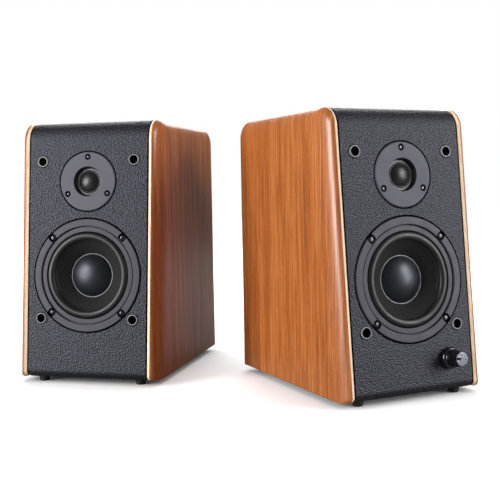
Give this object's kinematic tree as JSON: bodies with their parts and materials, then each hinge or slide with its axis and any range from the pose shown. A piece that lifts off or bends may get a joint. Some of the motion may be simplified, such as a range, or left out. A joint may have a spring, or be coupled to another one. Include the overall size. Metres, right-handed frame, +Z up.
{
  "type": "desktop speakers",
  "caption": "Pair of powered two-way desktop loudspeakers with a sloping baffle and wood-veneered sides; one cabinet holds the amplifier and the volume knob.",
  "frame": {"origin": "middle of the pair's bounding box, on the surface that the feet stand on", "axes": "+Z up; -Y out of the active speaker's front; +X to the active speaker's right as seen from its front"},
  "size_m": [0.3744, 0.4314, 0.261],
  "materials": {
    "black_plastic": "moulded",
    "circuit_board": "solder mask",
    "cone_paper": "matte pulp",
    "copper": "enamelled copper wire",
    "dome_silk": "coated silk",
    "dust_cap": "satin",
    "ferrite": "sintered ferrite",
    "gloss_plastic": "gloss",
    "knob_plastic": "gloss black, satin end",
    "leatherette": "pebbled black leatherette over board",
    "painted_board": "black painted board",
    "painted_metal": "black powder coat",
    "red_plastic": "moulded",
    "rubber": "matte",
    "satin_plastic": "satin dark grey",
    "soft_rubber": "matte butyl",
    "spider_cloth": "impregnated cloth",
    "veneer": "satin cherry veneer",
    "zinced_steel": "zinc plated"
  },
  "bodies": {
    "active_cabinet": {"active_cabinet_shell": "leatherette", "active_left_side_panel": "veneer", "active_right_side_panel": "veneer", "active_back_panel": "painted_board", "active_front_left_foot": "rubber", "active_front_right_foot": "rubber", "active_rear_left_foot": "rubber", "active_rear_right_foot": "rubber", "active_woofer_trim_ring": "satin_plastic", "active_woofer_basket": "satin_plastic", "active_woofer_surround": "soft_rubber", "active_woofer_spider": "spider_cloth", "active_woofer_magnet": "ferrite", "active_woofer_yoke": "zinced_steel", "active_tweeter_faceplate": "satin_plastic", "active_tweeter_motor": "ferrite", "active_port_tube": "black_plastic", "active_volume_potentiometer": "zinced_steel", "active_amp_plate": "painted_metal", "active_rca_block": "black_plastic", "active_terminal_block": "black_plastic", "active_switch_housing": "black_plastic", "active_mains_inlet": "black_plastic", "active_amp_board": "circuit_board", "active_transformer": "zinced_steel"},
    "active_woofer_diaphragm": {"active_woofer_cone": "cone_paper", "active_woofer_dust_cap": "dust_cap", "active_woofer_voice_coil": "copper"},
    "active_tweeter_diaphragm": {"active_tweeter_dome": "dome_silk"},
    "active_left_lever": {"active_left_terminal_lever": "black_plastic"},
    "active_right_lever": {"active_right_terminal_lever": "red_plastic"},
    "passive_cabinet": {"passive_cabinet_shell": "leatherette", "passive_left_side_panel": "veneer", "passive_right_side_panel": "veneer", "passive_back_panel": "painted_board", "passive_front_left_foot": "rubber", "passive_front_right_foot": "rubber", "passive_rear_left_foot": "rubber", "passive_rear_right_foot": "rubber", "passive_woofer_trim_ring": "satin_plastic", "passive_woofer_basket": "satin_plastic", "passive_woofer_surround": "soft_rubber", "passive_woofer_spider": "spider_cloth", "passive_woofer_magnet": "ferrite", "passive_woofer_yoke": "zinced_steel", "passive_tweeter_faceplate": "satin_plastic", "passive_tweeter_motor": "ferrite", "passive_port_tube": "black_plastic", "passive_terminal_cup": "black_plastic", "passive_crossover_board": "circuit_board"},
    "passive_woofer_diaphragm": {"passive_woofer_cone": "cone_paper", "passive_woofer_dust_cap": "dust_cap", "passive_woofer_voice_coil": "copper"},
    "passive_tweeter_diaphragm": {"passive_tweeter_dome": "dome_silk"},
    "passive_left_lever": {"passive_left_terminal_lever": "black_plastic"},
    "passive_right_lever": {"passive_right_terminal_lever": "red_plastic"},
    "volume_knob": {"active_volume_knob": "knob_plastic"},
    "bass_knob": {"active_bass_knob": "knob_plastic"},
    "treble_knob": {"active_treble_knob": "knob_plastic"},
    "power_rocker": {"active_power_rocker": "gloss_plastic"}
  },
  "joints": [
    {"name": "active_woofer_excursion", "type": "slide", "parent": "active_cabinet", "child": "active_woofer_diaphragm", "axis": [0, -0.9949, 0.1011], "range_m": [-0.004, 0.004], "stiffness_N_per_m": 1000, "deforming": ["active_woofer_surround", "active_woofer_spider"]},
    {"name": "active_tweeter_excursion", "type": "slide", "parent": "active_cabinet", "child": "active_tweeter_diaphragm", "axis": [0, -0.9949, 0.1011], "range_m": [-0.0003, 0.0003], "stiffness_N_per_m": 2000},
    {"name": "active_left_lever_press", "type": "hinge", "parent": "active_cabinet", "child": "active_left_lever", "pos_m": [0.1002, 0.001, 0.1126], "axis": [-1, 0, 0], "range_deg": [0, 15], "stiffness_Nm_per_rad": 0.03, "springref_deg": -17.19},
    {"name": "active_right_lever_press", "type": "hinge", "parent": "active_cabinet", "child": "active_right_lever", "pos_m": [0.0802, 0.001, 0.1126], "axis": [-1, 0, 0], "range_deg": [0, 15], "stiffness_Nm_per_rad": 0.03, "springref_deg": -17.19},
    {"name": "passive_woofer_excursion", "type": "slide", "parent": "passive_cabinet", "child": "passive_woofer_diaphragm", "axis": [-0.6328, -0.7677, 0.1011], "range_m": [-0.004, 0.004], "stiffness_N_per_m": 1000, "deforming": ["passive_woofer_surround", "passive_woofer_spider"]},
    {"name": "passive_tweeter_excursion", "type": "slide", "parent": "passive_cabinet", "child": "passive_tweeter_diaphragm", "axis": [-0.6328, -0.7677, 0.1011], "range_m": [-0.0003, 0.0003], "stiffness_N_per_m": 2000},
    {"name": "passive_left_lever_press", "type": "hinge", "parent": "passive_cabinet", "child": "passive_left_lever", "pos_m": [0.00595, 0.16205, 0.1066], "axis": [-0.7716, 0.6361, 0], "range_deg": [0, 15], "stiffness_Nm_per_rad": 0.03, "springref_deg": -17.19},
    {"name": "passive_right_lever_press", "type": "hinge", "parent": "passive_cabinet", "child": "passive_right_lever", "pos_m": [-0.00948, 0.17477, 0.1066], "axis": [-0.7716, 0.6361, 0], "range_deg": [0, 15], "stiffness_Nm_per_rad": 0.03, "springref_deg": -17.19},
    {"name": "volume_turn", "type": "hinge", "parent": "active_cabinet", "child": "volume_knob", "pos_m": [0.1499, -0.20644, 0.03606], "axis": [0, 0.9949, -0.1011], "range_deg": [-150, 150]},
    {"name": "bass_turn", "type": "hinge", "parent": "active_cabinet", "child": "bass_knob", "pos_m": [0.1322, 0.0055, 0.14], "axis": [0, -1, 0], "range_deg": [-150, 150]},
    {"name": "treble_turn", "type": "hinge", "parent": "active_cabinet", "child": "treble_knob", "pos_m": [0.0922, 0.0055, 0.14], "axis": [0, -1, 0], "range_deg": [-150, 150]},
    {"name": "power_switch", "type": "hinge", "parent": "active_cabinet", "child": "power_rocker", "pos_m": [0.1402, -0.001, 0.045], "axis": [1, 0, 0], "range_deg": [0, 16]},
    {"name": "passive_speaker_spacing", "type": "slide", "parent": "active_cabinet", "child": "passive_cabinet", "axis": [-1, 0, 0], "range_m": [0, 0.6]}
  ]
}
